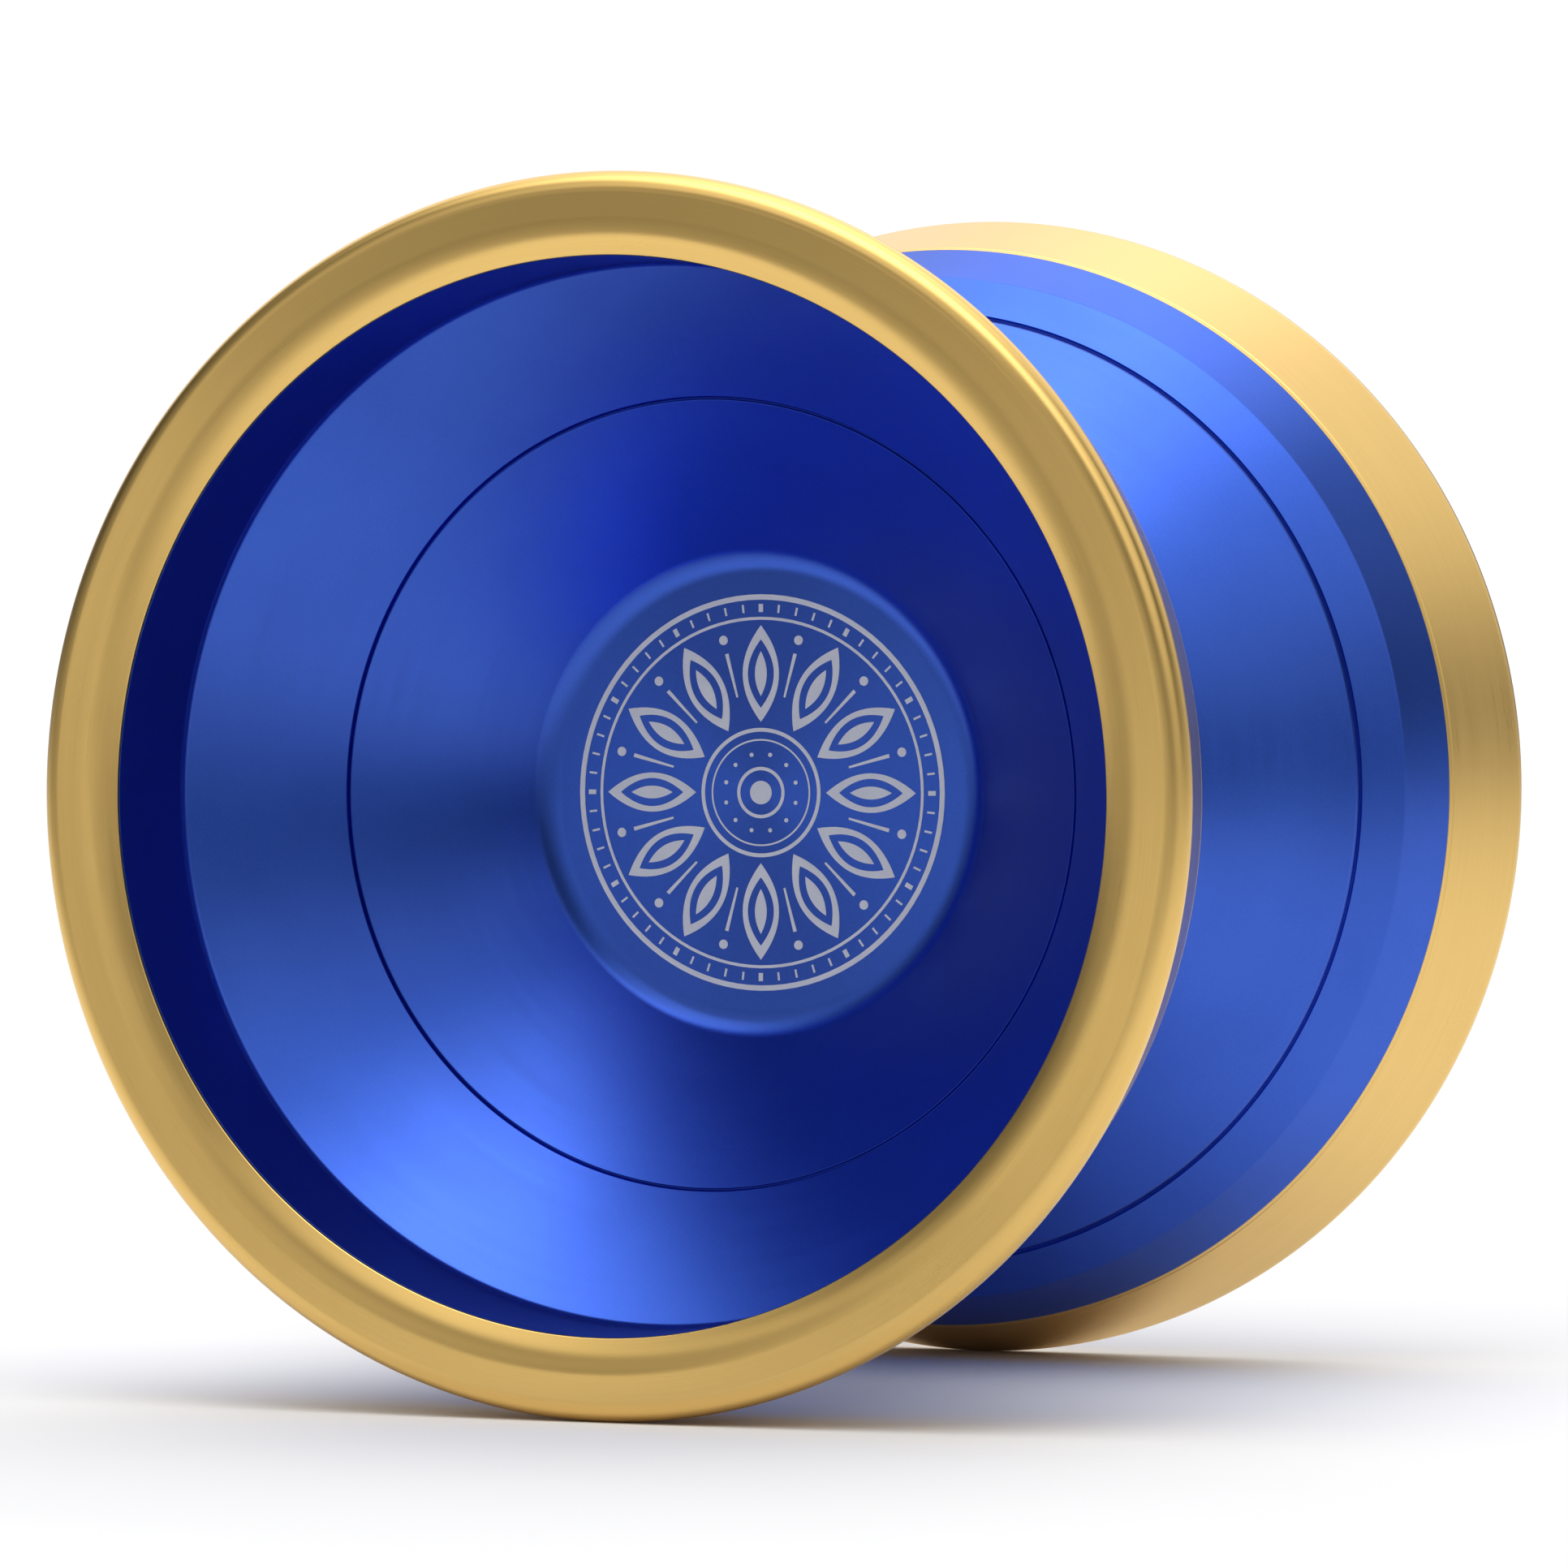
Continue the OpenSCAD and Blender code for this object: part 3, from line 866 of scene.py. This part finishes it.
dress(axle("axle_threaded"), "left_half", "axle_steel", AXLE, "axle")
inner_race = lathe("inner_race_ground", inner_race_points(), RIGHT, FINE_SEGMENTS)
dress(inner_race, "bearing_inner", "bearing_steel", STEEL, "bearing_inner_race")
outer_race = lathe("outer_race_ground", outer_race_points(), RIGHT, FINE_SEGMENTS)
dress(outer_race, "bearing_outer", "bearing_steel", STEEL, "bearing_outer_race")
dress(cage("cage_riveted"), "cage", "cage_steel", CAGE, "bearing_cage")
for i in range(1, BALL_COUNT + 1):
    low, high = cad(f"bearing_ball_{i}")
    ball = lathe(f"ball_{i}_lapped", ball_points(), RIGHT, BALL_SEGMENTS, (low + high) / 2)
    dress(ball, f"ball_{i}", "ball_steel", BALL, f"bearing_ball_{i}")


# ---------------------------------------------------------------- floor, light and camera


def floor():
    """White table under the rims, ending a little way in front of them."""
    half, front, back = 6000, -130, 6000
    corners = [(-half, front), (half, front), (half, back), (-half, back)]
    obj = new_object("studio_floor", [(x, y, -outer_r) for x, y in corners], [[0, 1, 2, 3]])
    n = Nodes("white_table")
    n.set(Roughness=0.9, Specular_IOR_Level=0.1)
    n.colour(n.between(n.noise(n.point, 30, 2), (0.88, 0.88, 0.885), (0.9, 0.9, 0.905)))
    obj.data.materials.append(n.material)
    obj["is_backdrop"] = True


# Soft lights of the white room: azimuth from the front towards the right, elevation and reach to the
# soft edge, all in degrees, then brightness
ROOM_LEVEL = 0.06
BACKDROP = 1.05
SOFTBOXES = {
    "ceiling": (0, 90, 40, 2.0),
    "ceiling right": (30, 65, 25, 1.8),
    "ceiling left": (-60, 68, 22, 0.8),
    "back left": (-150, 35, 40, 1.1),
    "back right": (155, 40, 40, 1.0),
    "right": (70, 35, 30, 0.9),
    "front": (-12, 45, 22, 1.6),
    "front low": (-20, 20, 22, 0.5),
    "front left": (-45, 10, 35, 0.15),
    "floor bounce": (0, -35, 60, 0.4),
}


def direction(azimuth, elevation):
    """Unit vector from an azimuth and an elevation in degrees."""
    a, e = math.radians(azimuth), math.radians(elevation)
    return math.sin(a) * math.cos(e), -math.cos(a) * math.cos(e), math.sin(e)


def studio():
    """White room of soft lights. The camera sees only a plain white backdrop."""
    world = bpy.data.worlds.new("white_studio")
    bpy.context.scene.world = world
    world.use_nodes = True
    tree = world.node_tree
    new, link = tree.nodes.new, tree.links.new
    way = new("ShaderNodeTexCoord").outputs["Generated"]

    def sum_of(a, b):
        node = new("ShaderNodeMath")
        node.operation = "ADD"
        for socket, value in zip(node.inputs, (a, b)):
            if isinstance(value, float):
                socket.default_value = value
            else:
                link(value, socket)
        return node.outputs[0]

    level = ROOM_LEVEL
    for azimuth, elevation, reach, brightness in SOFTBOXES.values():
        towards = new("ShaderNodeVectorMath")
        towards.operation = "DOT_PRODUCT"
        towards.inputs[1].default_value = direction(azimuth, elevation)
        link(way, towards.inputs[0])
        box = new("ShaderNodeMapRange")
        box.interpolation_type = "SMOOTHSTEP"
        box.inputs["From Min"].default_value = math.cos(math.radians(reach))
        box.inputs["From Max"].default_value = math.cos(math.radians(reach / 4))
        box.inputs["To Max"].default_value = brightness
        link(towards.outputs["Value"], box.inputs["Value"])
        level = sum_of(level, box.outputs[0])
    backdrop = new("ShaderNodeMix")
    backdrop.inputs[3].default_value = BACKDROP
    link(new("ShaderNodeLightPath").outputs["Is Camera Ray"], backdrop.inputs[0])
    link(level, backdrop.inputs[2])
    link(backdrop.outputs[0], tree.nodes["Background"].inputs["Strength"])
    tree.nodes["Background"].inputs["Color"].default_value = (1, 1, 1, 1)


def camera():
    """Long lens, to the right of the axle's end and a touch above it."""
    azimuth, elevation = math.radians(23.0), math.radians(0.6)
    sin_a, cos_a = math.sin(azimuth), math.cos(azimuth)
    back = Vector((sin_a * math.cos(elevation), -cos_a * math.cos(elevation), math.sin(elevation)))
    right = Vector((cos_a, sin_a, 0))
    up = back.cross(right)
    aim_right, aim_up, distance = 0.90, -0.35, 409.0
    place = -(right * aim_right + up * aim_up - back * distance) * MM
    data = bpy.data.cameras.new("photo_camera")
    data.lens, data.sensor_width = 199.0, 36.0
    data.clip_start, data.clip_end = 0.01, 50
    obj = bpy.data.objects.new("photo_camera", data)
    axes = Matrix((right, up, back)).transposed()
    obj.matrix_world = Matrix.Translation(place) @ axes.to_4x4()
    bpy.context.scene.collection.objects.link(obj)
    bpy.context.scene.camera = obj


floor()
studio()
camera()
bpy.context.scene.view_settings.view_transform = "Standard"

low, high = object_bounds()
